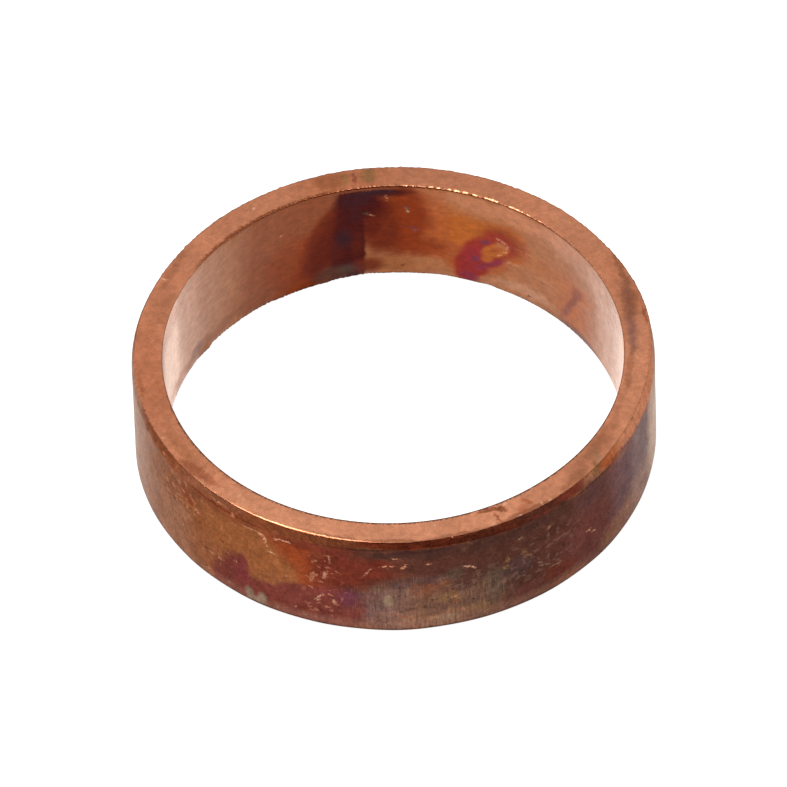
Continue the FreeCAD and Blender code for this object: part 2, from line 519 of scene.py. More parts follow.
# Broad fields of tint, whose rims wander.  Rows are as Finish.stains takes them.
OUTSIDE_STAINS = [
    # The left: plain brown copper, paler towards the far side, where the wall turns edge-on; that
    # paleness is partly painted reflection of the white surroundings.
    ("fawn", 186, 3, 2, 6, 0, 1, 0.5), ("dust", 196, 2.6, 1.4, 6, 0, 0.9, 0.6),
    ("tan", 204, 2, 1.5, 4, 0, 0.9, 0.6), ("hazel", 212, 1.6, 1.8, 1.7, 0, 0.8, 0.6),
    ("golden", 214, 4.3, 2.4, 1, 0, 0.7, 0.6), ("golden", 222, 1.6, 1, 1.2, 0, 0.5, 0.6),
    ("tan", 215, 3.3, 1, 0.4, 6, 0.6, 0.6), ("tan", 211, 1.5, 1.2, 0.9, 0, 0.5, 0.6),
    ("chestnut", 217, 4.9, 0.8, 0.4, 0, 0.8, 0.5), ("chestnut", 223, 3.7, 0.7, 0.5, 10, 0.8, 0.5),
    ("rust", 217.5, 4.5, 0.5, 0.3, 12, 0.5, 0.6), ("rust", 223, 3.8, 0.5, 0.35, 0, 0.55, 0.6),
    ("chestnut", 205, 6, 2.2, 0.5, 0, 0.9, 0.4), ("chestnut", 190, 6, 1.2, 0.4, 0, 0.4, 0.6),
    # The golden field, going through ember to brick red on its right.
    ("golden", 237, 3.9, 4, 1.9, 0, 1, 0.4), ("chestnut", 231, 5.5, 2.6, 0.45, 0, 0.7, 0.5),
    ("ember", 247.5, 4.5, 0.9, 1, 0, 0.9, 0.5), ("ember", 250.5, 3.2, 0.8, 0.8, 0, 0.8, 0.5),
    ("ember", 243.5, 5, 0.8, 0.5, 0, 0.6, 0.6), ("brick", 257, 4, 1.5, 1.6, 0, 1, 0.4),
    ("brick", 253, 5.35, 2.2, 0.4, 0, 0.9, 0.5), ("brick", 265, 4.3, 1.4, 1, 0, 1, 0.4),
    # The dark front right, going plum, mauve and then pale; the pale right edge, where the wall
    # turns edge-on, is partly painted reflection of the white surroundings.
    ("maroon", 280, 4.5, 2.6, 1, 0, 1, 0.35), ("maroon", 300, 3, 3.4, 3.6, 0, 1, 0.35),
    ("berry", 319, 2.2, 2.2, 3.4, 0, 1, 0.5), ("dusk", 319, 4.9, 1.9, 0.9, 0, 0.9, 0.6),
    ("mauve", 331, 3, 1.4, 5, 0, 1, 0.5), ("lilac", 339.5, 3, 1.3, 5, 0, 1, 0.5),
    ("hazel", 329, 1, 1.4, 0.8, 0, 0.6, 0.6), ("dust", 340, 1.2, 2, 1.1, 0, 0.5, 0.6),
    ("hazel", 331, 5.4, 1.2, 0.25, 0, 0.4, 0.6), ("fawn", 348.5, 3, 0.9, 6, 0, 1, 0.6),
    ("tan", 6, 3, 2.4, 5, 0, 0.8, 0.9), ("bisque", 353, 1.6, 1.4, 3.6, 0, 1, 0.85),
    # Dark blotches below the bevel and over the front right.
    ("umber", 272, 5.4, 2.6, 0.36, 0, 1, 0.5), ("umber", 291, 5.3, 2.8, 0.5, 0, 1, 0.5),
    ("umber", 306, 5.2, 1.6, 0.6, 0, 0.8, 0.5), ("umber", 297, 2.6, 1.2, 1, 0, 0.5, 0.6),
    ("berry", 298, 0.9, 1.7, 0.6, 0, 0.5, 0.6), ("brick", 308, 1.3, 0.9, 0.5, 0, 0.5, 0.6),
    # The grey drawn patch at the front.
    ("dove", 268, 1.8, 1.3, 1.5, 0, 0.9, 0.35), ("drab", 281, 1.6, 2, 1.7, 0, 0.9, 0.35),
    ("drab", 289, 1.4, 1.2, 1.6, 0, 0.7, 0.5), ("maroon", 269, 3.3, 1.7, 0.5, 0, 0.6, 0.5),
    ("maroon", 260, 2.6, 0.7, 0.5, 0, 0.7, 0.6), ("umber", 285, 3.35, 1.1, 0.7, 0, 0.8, 0.5),
    ("umber", 296, 4.1, 2.8, 0.5, 0, 0.4, 0.6), ("tan", 271, 1, 1.8, 0.4, 0, 0.45, 0.6),
    ("mauve", 262.5, 1.6, 0.5, 1.1, 0, 0.6, 0.6), ("tan", 281, 0.7, 2.2, 0.4, 0, 0.6, 0.6),
    ("chestnut", 277, 2.7, 0.8, 0.5, 0, 0.4, 0.6), ("mauve", 266, 1.4, 0.5, 0.9, 0, 0.4, 0.6),
    ("ochre", 280, 2.2, 0.8, 0.3, 0, 0.5, 0.6), ("olive", 290.8, 2.2, 0.45, 1.1, 0, 0.5, 0.6),
    ("ochre", 287.5, 0.9, 0.6, 0.4, 0, 0.5, 0.5), ("slate", 276, 3.5, 0.9, 0.3, 0, 0.5, 0.6),
    ("slate", 296.5, 2.9, 0.9, 0.6, 0, 0.5, 0.5), ("slate", 270.5, 3.2, 0.6, 0.4, 0, 0.4, 0.6),
]

# Smaller stains, whose rims wander less.
CLOSE_STAINS = [
    # The plum field along the foot, and flecks of other tones.
    ("plum", 229, 0.85, 1, 1.1, 0, 1, 0.35), ("plum", 231.3, 1.8, 0.72, 1.1, 0, 1, 0.4),
    ("plum", 233.3, 2.2, 0.35, 0.95, 0, 1, 0.2), ("plum", 240, 0.7, 2.5, 1.15, 0, 1, 0.15),
    ("plum", 249, 1, 2, 1.6, 0, 1, 0.12), ("plum", 257, 1.4, 1.1, 1.4, 0, 1, 0.25),
    ("magenta", 233, 1.9, 0.5, 0.8, 0, 0.3, 0.6), ("brick", 241, 0.9, 1, 0.4, 0, 0.3, 0.6),
    ("brick", 248.5, 0.9, 0.4, 0.15, 0, 0.7, 0.6), ("magenta", 253.5, 2.5, 0.5, 0.4, 0, 0.25, 0.6),
    ("violet", 258.5, 2.2, 0.5, 0.6, 0, 0.45, 0.6), ("golden", 237.6, 2.25, 0.7, 0.3, 0, 0.6, 0.5),
    ("sage", 234.9, 0.62, 0.22, 0.42, 6, 0.8, 0.5), ("sage", 238.1, 0.56, 0.26, 0.42, -6, 0.8, 0.5),
    ("sage", 236.5, 0.4, 0.3, 0.16, 0, 0.6, 0.5), ("sand", 267.2, 2.15, 0.2, 0.4, 0, 0.7, 0.5),
    ("sand", 280.5, 0.75, 0.6, 0.22, 0, 0.5, 0.6), ("olive", 282, 3.65, 0.4, 0.4, 0, 0.4, 0.6),
    ("blue_black", 274, 5.5, 1.6, 0.1, 0, 0.4, 0.6), ("maroon", 286, 0.5, 2.2, 0.35, 0, 0.4, 0.6),
    # The bevel.
    ("chestnut", 243, 5.85, 4.4, 0.24, 0, 0.9, 0.2), ("brown", 227, 5.9, 1.6, 0.2, 0, 0.6, 0.3),
    ("fired", 275, 5.9, 3.2, 0.24, 0, 1, 0.2), ("dark_brown", 297, 5.9, 2.9, 0.3, 0, 1, 0.2),
    ("umber", 303, 5.9, 1.2, 0.3, 0, 0.5, 0.6), ("brick", 312, 5.9, 0.9, 0.24, 0, 0.9, 0.4),
    ("hazel", 321, 5.88, 1.1, 0.28, 0, 0.8, 0.5), ("orange", 325, 5.88, 0.9, 0.28, 0, 0.8, 0.6),
    ("salmon", 344, 5.9, 4, 0.34, 0, 1, 0.2), ("amber", 326, 5.9, 0.7, 0.2, 0, 0.4, 0.5),
    ("ochre", 319.8, 5.95, 0.25, 0.3, 35, 0.6, 0.5),
    # Dark lines where the bevel meets the wall: painted shade along the shoulder's edge.
    ("sorrel", 229, 5.56, 2.6, 0.045, 0, 0.7, 0.4), ("umber", 273, 5.63, 2.8, 0.06, 0, 0.7, 0.4),
    ("umber", 318, 5.53, 1.6, 0.07, 0, 0.8, 0.4), ("umber", 304, 5.62, 1.2, 0.05, 0, 0.7, 0.4),
]

# Scratches and chips that show a brighter tone, then dark specks and pits.
OUTSIDE_MARKS = {
    "rose": [
        (235.5, 5.23, 0.55, 0.04, 0, 0.7), (238.3, 5.15, 0.2, 0.08, -25, 1),
        (239.4, 4.85, 0.09, 0.22, -8, 1), (239.9, 4.5, 0.07, 0.1, 0, 1),
        (241, 4.15, 0.2, 0.05, 0, 1), (242.2, 5.2, 0.12, 0.07, 12, 1),
        (244.2, 5.27, 0.36, 0.05, -2, 1), (244.3, 2.86, 0.07, 0.06, 0, 1),
        (250.5, 3.3, 0.1, 0.35, -12, 0.4), (251.5, 1.8, 0.16, 0.06, 25, 1),
        (252.3, 2.1, 0.07, 0.2, -35, 1), (253.4, 3.6, 0.12, 0.28, -15, 0.6),
        (254.5, 4.75, 0.06, 0.25, 0, 0.5), (255.2, 1.85, 0.08, 0.14, -30, 0.7),
        (254.5, 1.2, 0.12, 0.06, 15, 0.7), (246.3, 0.92, 0.12, 0.05, 10, 0.7),
        (262.8, 4.1, 0.05, 0.35, -35, 0.6), (284.6, 4, 0.16, 0.05, -15, 1),
        (286.2, 3.85, 0.12, 0.05, -20, 1), (316.2, 2.5, 0.16, 0.06, -10, 0.7),
        (317.8, 2.2, 0.16, 0.05, -10, 0.8), (330.8, 1.3, 0.26, 0.05, -15, 0.7),
        (332, 5.65, 0.2, 0.05, -20, 0.6), (337.5, 5.75, 0.2, 0.05, -20, 0.5),
    ],
    "sage": [(241.8, 0.42, 0.1, 0.06, 10, 0.9), (248.5, 0.5, 0.16, 0.05, 10, 0.6)],
    "clean": [
        (267, 4.57, 0.3, 0.05, 3, 1), (269, 5.12, 0.14, 0.04, -8, 1),
        (270.7, 4.5, 0.16, 0.07, 20, 1), (271.3, 4.7, 0.1, 0.04, 0, 1),
        (276.1, 4.6, 0.14, 0.06, 0, 1), (281.6, 2.1, 0.14, 0.07, 0, 0.7),
        (207.6, 5.7, 0.16, 0.06, 0, 0.7), (211.3, 5.3, 0.14, 0.07, 10, 0.7),
        (213.9, 5, 0.18, 0.06, 10, 0.6), (213.5, 4.1, 0.16, 0.07, 20, 0.7),
        (214.7, 3.85, 0.24, 0.05, 0, 0.7), (220.3, 4.15, 0.2, 0.16, 0, 0.9),
        (222, 5.1, 0.16, 0.06, -10, 0.7), (214.5, 2.2, 0.16, 0.06, 0, 0.6),
        (223.3, 0.7, 0.12, 0.08, 10, 0.8), (218.1, 4.85, 0.1, 0.08, 20, 0.7),
        (225.1, 4.6, 0.14, 0.06, 10, 0.6), (227.7, 4.2, 0.06, 0.16, -15, 0.6),
        (229, 2.65, 0.18, 0.07, -20, 0.6), (208.5, 4.35, 0.22, 0.1, 25, 0.5),
        (226.8, 5.75, 0.5, 0.05, 0, 0.6), (231, 5.5, 0.12, 0.14, 20, 0.6),
        (231.3, 2.35, 0.1, 0.08, 0, 0.6),
    ],
    "orange": [(270.6, 1.05, 0.26, 0.04, 0, 0.9), (282, 1.7, 0.16, 0.08, 0, 0.8)],
    "drab": [(284.3, 5.25, 0.2, 0.14, 0, 0.6)],
    "sand": [
        (297.3, 4.75, 0.14, 0.05, 10, 0.6), (303.5, 2.15, 0.3, 0.04, -25, 0.7),
        (306.6, 1.75, 0.34, 0.05, -5, 0.7), (302, 2.5, 0.12, 0.06, -30, 0.6),
        (229.5, 0.6, 0.14, 0.12, 0, 0.5),
    ],
    "ochre": [
        (294.2, 3.65, 0.1, 0.22, 0, 1), (293.7, 3.15, 0.14, 0.1, 0, 0.9),
        (298.3, 3.75, 0.12, 0.16, 30, 0.8), (299.3, 3.4, 0.2, 0.08, -40, 0.8),
        (302.6, 0.38, 0.2, 0.05, 0, 0.7), (313.8, 0.38, 0.3, 0.06, 0, 0.8),
    ],
    "tan": [(304.7, 4.57, 0.12, 0.06, 0, 0.9)],
    "garnet": [(303, 5.67, 0.6, 0.04, 0, 0.8)],
    "golden": [(313.8, 5.6, 0.4, 0.04, 0, 0.8), (306.2, 0.42, 0.3, 0.07, 0, 0.8)],
    "amber": [(310.3, 0.38, 0.24, 0.05, 0, 0.7)],
    "mauve": [(312.2, 0.85, 0.12, 0.1, 0, 0.6)],
    "soot_and_shadow": [(286, 1.65, 0.05, 0.1, 0, 0.9), (290.6, 2.4, 0.1, 0.3, 0, 0.6)],
    "steel": [(269.1, 3.2, 0.05, 0.12, 0, 0.8), (271.4, 3.3, 0.05, 0.14, 0, 0.8)],
    "olive": [(264.3, 2.9, 0.14, 0.08, 0, 0.7), (345.5, 2.9, 0.7, 0.08, -12, 0.5)],
    "slate": [(318, 5.5, 0.3, 0.06, 10, 0.8), (336.3, 3.3, 0.14, 0.04, -15, 0.7)],
    "dark_brown": [(226, 4.3, 0.16, 0.08, 0, 0.5)],
    "sorrel": [
        (217, 4.75, 0.16, 0.12, 15, 0.5), (214.8, 5.45, 0.16, 0.06, 0, 0.6),
        (218.3, 4.35, 0.22, 0.08, 25, 0.5), (226.7, 3.6, 0.16, 0.06, 15, 0.6),
        (227.9, 3.25, 0.12, 0.07, -20, 0.6), (222.8, 0.75, 0.1, 0.08, 0, 0.6),
    ],
}

# Where the outside is scuffed, brightly and dully: angle, height, half width, half height.
BRIGHT_SCUFFS = [(213, 4.3, 2.4, 1.4), (226, 1.9, 1.3, 0.7), (253, 2.8, 1, 2.2)]
DULL_SCUFFS = [
    (268, 1.8, 1.6, 1.5), (284, 2.2, 2.6, 1.6), (303, 3, 2.4, 1.6), (328, 1.2, 2.2, 0.9),
]


def outside_finish(sector):
    """Tube outside: heat tint in broad fields, fine draw lines along the axis, scratches, with
    painted reflection near the foot and at the edge-on sides and a painted shadow line along the
    foot.
    """
    finish = Finish("outside_copper", sector, OUTER_MM)
    far_side = finish.film([(0.3, "tan"), (0.42, "golden"), (0.5, "chestnut"), (0.56, "brick"),
                            (0.62, "plum"), (0.7, "slate"), (0.78, "dove")])
    colour = finish.mixed(finish.ranged(finish.across, 3.0, -2.0), far_side, "brown")
    colour = finish.stains(colour, OUTSIDE_STAINS, finish.wavy, drift=0.8)
    colour = finish.stains(colour, CLOSE_STAINS, finish.close, drift=0.2)
    # Paler towards the foot: painted reflection of the white floor on the lower wall.
    colour = finish.mixed(finish.ranged(finish.height, 1.0, 0.4, 0, 0.18), colour, "dust")
    colour = finish.mottled(colour, [(1.3, 4.0, 0.65, 0.16), (6.0, 4.0, 0.65, 0.2)])

    draw_lines = finish.cloud(finish.stretched(finish.place, (1, 1, 0.12)), 11.0, 4.0, 0.7)
    grey_front = finish.ranged(finish.away(finish.wavy, 276, 1.8, 4.2, 1.9), 0.8, 1.2, 1.0, 0.12)
    dark_lines = finish.ranged(draw_lines, 0.5, 0.36, 0, 0.6)
    pale_lines = finish.ranged(draw_lines, 0.54, 0.68, 0, 0.3)
    colour = finish.mixed(finish.times(dark_lines, grey_front), colour, "slate")
    colour = finish.mixed(finish.times(pale_lines, grey_front), colour, "sand")

    bright = finish.times(finish.patches(BRIGHT_SCUFFS), 0.45)
    dull = finish.times(finish.patches(DULL_SCUFFS), 0.5)
    colour = finish.flecked(colour, "clean", (2.6, 2.6, 4.0), 0.6, bright)
    colour = finish.flecked(colour, "dove", (2.6, 2.6, 3.6), 0.56, dull)
    colour = finish.flecked(colour, "soot_and_shadow", (3.0, 3.0, 3.6), 0.64,
                            finish.maths("MAXIMUM", bright, dull), 20.0)
    colour = finish.flecked(colour, "tan", (1.1, 1.1, 5.0), 0.7, 0.25)
    colour = finish.flecked(colour, "soot_and_shadow", (3.0, 3.0, 3.0), 0.73, 0.4, 60.0)
    colour = finish.marks(colour, OUTSIDE_MARKS)
    # A dark line along the foot, broken by noise: painted contact shadow where the wall meets the
    # floor.
    foot_shadow_line = finish.plus(finish.height, finish.times(finish.broken, 0.08))
    colour = finish.mixed(finish.ranged(foot_shadow_line, 0.34, 0.22, 0, 0.6), colour, "soot_and_shadow")

    grain = finish.cloud(finish.place, 12.0, 3.0, 0.6)
    dents = finish.cloud(finish.place, 2.4, 3.0, 0.6)
    height = finish.plus(finish.times(draw_lines, 0.7), finish.times(grain, 0.7))
    height = finish.plus(height, finish.times(dents, 2.0))
    roughness = finish.ranged(finish.cloud(finish.place, 2.5), 0.3, 0.7, 0.3, 0.46)
    return finish.finish(colour, roughness, height, bump_mm=0.012, edge_tint=0.5)


# --- the ends

# The upper end is mostly clean, browner along its outer rim.
TOP_STAINS = [
    ("clean", 240, 11.5, 4, 0.9, 0, 0.8, 0.5), ("clean", 262, 11.5, 4.5, 1, 0, 0.8, 0.5),
    ("clean", 284, 11.5, 4.5, 0.9, 0, 0.8, 0.5), ("clean", 304, 11.5, 2.4, 0.8, 0, 0.6, 0.6),
    ("clean", 42, 11.9, 2, 0.6, 0, 0.5, 0.6), ("brown", 254, 12.2, 1.6, 0.12, 0, 0.6, 0.6),
    ("brown", 268, 12.2, 1.6, 0.12, 0, 0.7, 0.6), ("brown", 283, 12.2, 1.6, 0.12, 0, 0.6, 0.6),
    ("brown", 300, 12.2, 1.8, 0.16, 0, 0.8, 0.6), ("brown", 80, 11.9, 2.2, 0.6, 0, 0.2, 0.6),
    ("brown", 342, 11.35, 1.2, 0.16, 0, 0.4, 0.6), ("clean", 350, 11.9, 4.4, 0.8, 0, 0.5, 0.5),
    ("orange", 185, 11.8, 3.6, 1.2, 0, 0.25, 0.6), ("orange", 100, 11.8, 2.2, 1.2, 0, 0.35, 0.6),
    ("mauve", 8, 11.55, 1.5, 0.26, -3, 0.5, 0.7), ("brown", 14.5, 11.7, 1.2, 0.34, -10, 0.7, 0.6),
    ("fox", 14, 12.05, 0.9, 0.12, -8, 0.5, 0.6), ("mauve", 19, 11.95, 1, 0.2, -14, 0.4, 0.7),
    ("brown", 24.5, 12.15, 1.2, 0.16, -8, 0.7, 0.6), ("brown", 358, 12.22, 1.8, 0.06, 0, 0.3, 0.6),
    ("brown", 19, 11.9, 2, 0.5, 0, 0.3, 0.6), ("rust", 9, 12.25, 0.6, 0.06, 0, 0.5, 0.5),
    ("ochre", 94.5, 11.8, 0.4, 0.5, 0, 0.7, 0.4), ("plum", 97.8, 11.75, 0.12, 0.4, 0, 0.6, 0.5),
    ("ochre", 100, 11.8, 0.2, 0.4, 0, 0.6, 0.5), ("golden", 104, 11.8, 0.7, 0.5, 0, 0.6, 0.5),
    ("brown", 150, 12, 1.4, 0.2, 6, 0.4, 0.5), ("brown", 161, 11.6, 1.6, 0.5, 0, 0.3, 0.6),
    ("golden", 188, 12.2, 0.7, 0.12, 0, 0.5, 0.5), ("rust", 218, 11.95, 1.2, 0.3, 6, 0.5, 0.3),
    ("golden", 210, 11.7, 1.3, 0.3, 0, 0.4, 0.5), ("chestnut", 293, 11.27, 0.7, 0.13, -8, 0.8, 0.3),
    ("chestnut", 295.3, 11.5, 0.3, 0.18, -20, 0.8, 0.3),
    ("rust", 293.4, 11.9, 0.06, 0.4, 8, 0.6, 0.5), ("orange", 299.8, 11.95, 0.3, 0.2, 30, 0.5, 0.6),
    ("orange", 301.6, 11.65, 0.14, 0.3, 30, 0.6, 0.5),
    ("brown", 311.5, 12.1, 0.4, 0.2, 20, 0.5, 0.6),
    ("brown", 315.5, 12.05, 0.6, 0.24, 10, 0.6, 0.6),
    ("ochre", 320.3, 12.25, 0.4, 0.14, 50, 0.7, 0.6),
    ("sage", 322.8, 11.95, 0.4, 0.16, 50, 0.5, 0.6), ("brown", 328, 11.5, 1.4, 0.26, 0, 0.45, 0.6),
    ("hazel", 321, 11.6, 1.6, 0.4, 0, 0.4, 0.6), ("brown", 352, 11.35, 1.5, 0.14, 0, 0.5, 0.5),
    ("mauve", 2, 11.45, 1, 0.12, 0, 0.4, 0.6),
]

# Bright nicks and a few darker specks; the first four peach marks, on the crown's edge at the front
# right, are painted highlight.
TOP_MARKS = {
    "peach": [
        # The first four: painted highlight, glints of the overhead light along the crown's edge.
        (306.3, 12.2, 0.14, 0.05, 0, 0.8), (304, 12.15, 0.05, 0.1, 20, 0.7),
        (298, 12.22, 0.12, 0.05, 0, 0.7), (291.5, 12.15, 0.2, 0.06, 0, 0.6),
        (296.8, 11.25, 0.12, 0.1, -20, 0.9), (123.3, 11.75, 0.08, 0.07, 0, 0.9),
        (153.7, 12.1, 0.05, 0.18, 0, 0.9), (173, 11.6, 0.12, 0.06, 30, 0.6),
        (231.5, 11.8, 0.05, 0.22, 20, 0.7), (230, 11.7, 0.05, 0.16, 20, 0.6),
        (204.5, 12.2, 0.05, 0.14, 0, 0.7), (226, 11.2, 0.12, 0.05, 0, 0.6),
    ],
    "rose": [(278.5, 11.35, 0.12, 0.1, 0, 0.8)],
    "clean": [(328.5, 12.12, 0.22, 0.05, 10, 0.8), (331, 12.05, 0.16, 0.06, -10, 0.8)],
    "golden": [(220.4, 11.45, 0.08, 0.12, 0, 0.7)],
    "maroon": [(195.2, 12.33, 0.16, 0.05, 10, 0.8)],
}


def ends_finish(sector):
    """Faced ends: even salmon copper with faint cutting marks, stained here and there, with painted
    highlight in a few marks on the crown's edge and painted shade along the bore's lip.
    """
    finish = Finish("faced_copper", sector, HEIGHT_MM, on_end=True)
    standing_face = finish.film([(0.3, "salmon"), (0.45, "brown"), (0.55, "dark_brown"),
                                 (0.65, "plum"), (0.75, "slate")])
    colour = finish.mixed(finish.ranged(finish.height, 2.0, 4.0), standing_face, "salmon")
    ragged = finish.warped(finish.place, ((2.0, 0.35), (7.0, 0.22)))
    colour = finish.stains(colour, TOP_STAINS, ragged, drift=0.4)
    colour = finish.mottled(
        colour, [(0.5, 2.0, 0.5, 0.08), (2.2, 3.0, 0.6, 0.04), (8.0, 3.0, 0.6, 0.08)])
    colour = finish.flecked(colour, "rose", (3.5, 3.5, 3.5), 0.74, 0.4)
    colour = finish.flecked(colour, "brown", (3.0, 3.0, 3.0), 0.74, 0.4, 40.0)
    colour = finish.marks(colour, TOP_MARKS)

    # Painted shade: a ragged dark band on the lip over the far left, where the broken lip faces
    # away from the light.
    lip = finish.maths("SUBTRACT", finish.radius, finish.times(finish.broken, 0.09))
    lip_shade_patch = finish.ranged(finish.away(finish.place, 124, 11.1, 5.6, 2.0), 0.6, 1.1, 1, 0)
    painted_lip_shade = finish.times(finish.ranged(lip, 11.2, 11.06, 0, 0.9), lip_shade_patch)
    colour = finish.mixed(painted_lip_shade, colour, "chestnut")
    # Painted shade: a thin dark line along the lip on the near side, where the rounded edge faces
    # away from the light.
    near_lip = finish.ranged(finish.across, -1.5, -4.0, 0, 0.7)
    painted_lip_shade = finish.times(finish.ranged(lip, 11.09, 11.03), near_lip)
    colour = finish.mixed(painted_lip_shade, colour, "umber")

    grain = finish.cloud(finish.place, 9.0, 4.0, 0.65)
    roughness = finish.ranged(finish.cloud(finish.place, 3.0), 0.3, 0.7, 0.3, 0.38)
    return finish.finish(colour, roughness, grain, bump_mm=0.004, edge_tint=0.8)


# --- the bore

# Broad fields of tint, whose rims wander.
INSIDE_STAINS = [
    # The pale right, warming towards the back; the palest part, where the bore turns edge-on, is
    # partly painted reflection of the white surroundings.
    ("pale_pink", 5, 3, 1.9, 6, 0, 1, 0.5), ("blush", 14, 3, 0.9, 6, 0, 0.9, 0.6),
    ("shell", 22, 3, 1.5, 6, 0, 1, 0.6), ("shell", 33, 5.2, 2.4, 0.8, 0, 0.6, 0.6),
    ("salmon", 55, 5.4, 4.4, 0.5, 0, 0.6, 0.5), ("shell", 27, 2.4, 1.4, 3, 0, 0.8, 0.6),
    ("fox", 34.5, 2, 1.8, 2.6, 0, 1, 0.5), ("orange", 34.5, 2.9, 0.8, 0.5, 0, 0.5, 0.6),
    ("orange", 37, 1.4, 1, 1.2, 0, 0.6, 0.6), ("amber", 35.5, 1.8, 1.5, 2, 0, 0.5, 0.6),
    ("shell", 54, 0.6, 1.6, 0.4, 0, 0.5, 0.6), ("amber", 45, 2.9, 1.5, 0.6, 0, 0.35, 0.6),
    # The golden field behind the ringed spot.
    ("amber", 72, 3.4, 2, 1.3, 0, 1, 0.4), ("orange", 76, 1.9, 1.5, 0.7, 0, 0.9, 0.4),
    ("orange", 79.5, 3.8, 0.9, 2, 0, 0.7, 0.6), ("rust", 86.5, 3.6, 1.2, 2.4, 0, 1, 0.4),
    ("rust", 83, 1.9, 1.6, 0.55, 0, 0.8, 0.5), ("sorrel", 92, 3.2, 0.9, 1.9, 0, 1, 0.5),
    # Left of the dark stain, brown going pale; the palest part at the left, where the bore turns
    # edge-on, is partly painted reflection of the white surroundings.
    ("pale_pink", 165, 2.4, 1.9, 6, 0, 1, 0.6), ("shell", 152, 3.2, 1.2, 6, 0, 0.9, 0.6),
    ("tan", 143, 3.2, 1.2, 6, 0, 0.7, 0.6), ("hazel", 133, 4.4, 1.2, 2.6, 0, 0.7, 0.6),
    ("chestnut", 122, 2.6, 1.8, 6, 0, 0.9, 0.6), ("chestnut", 106, 5, 1.1, 1.2, 0, 1, 0.5),
    ("chestnut", 112, 4.6, 1.3, 2, 0, 0.9, 0.5), ("rust", 116, 1.8, 1.3, 1.8, 0, 0.6, 0.6),
    ("rust", 109.5, 2, 1, 2.2, 20, 0.9, 0.5), ("sorrel", 108, 2, 0.8, 2.2, 20, 0.9, 0.5),
    ("chestnut", 129, 0.6, 2.8, 0.35, 0, 0.7, 0.5), ("hazel", 143, 0.5, 1.6, 0.4, 0, 0.6, 0.6),
    ("clean", 157, 0.6, 1.8, 0.4, 0, 0.7, 0.6), ("tan", 154, 0.45, 1.5, 0.3, 0, 0.5, 0.6),
    ("golden", 145, 0.5, 1.6, 0.4, 0, 0.8, 0.6), ("rust", 114, 0.6, 1.2, 0.4, 0, 0.5, 0.6),
    ("clean", 163, 5.3, 1.4, 0.6, 0, 0.4, 0.6), ("mauve", 149, 0.7, 0.7, 0.28, 0, 0.4, 0.6),
]

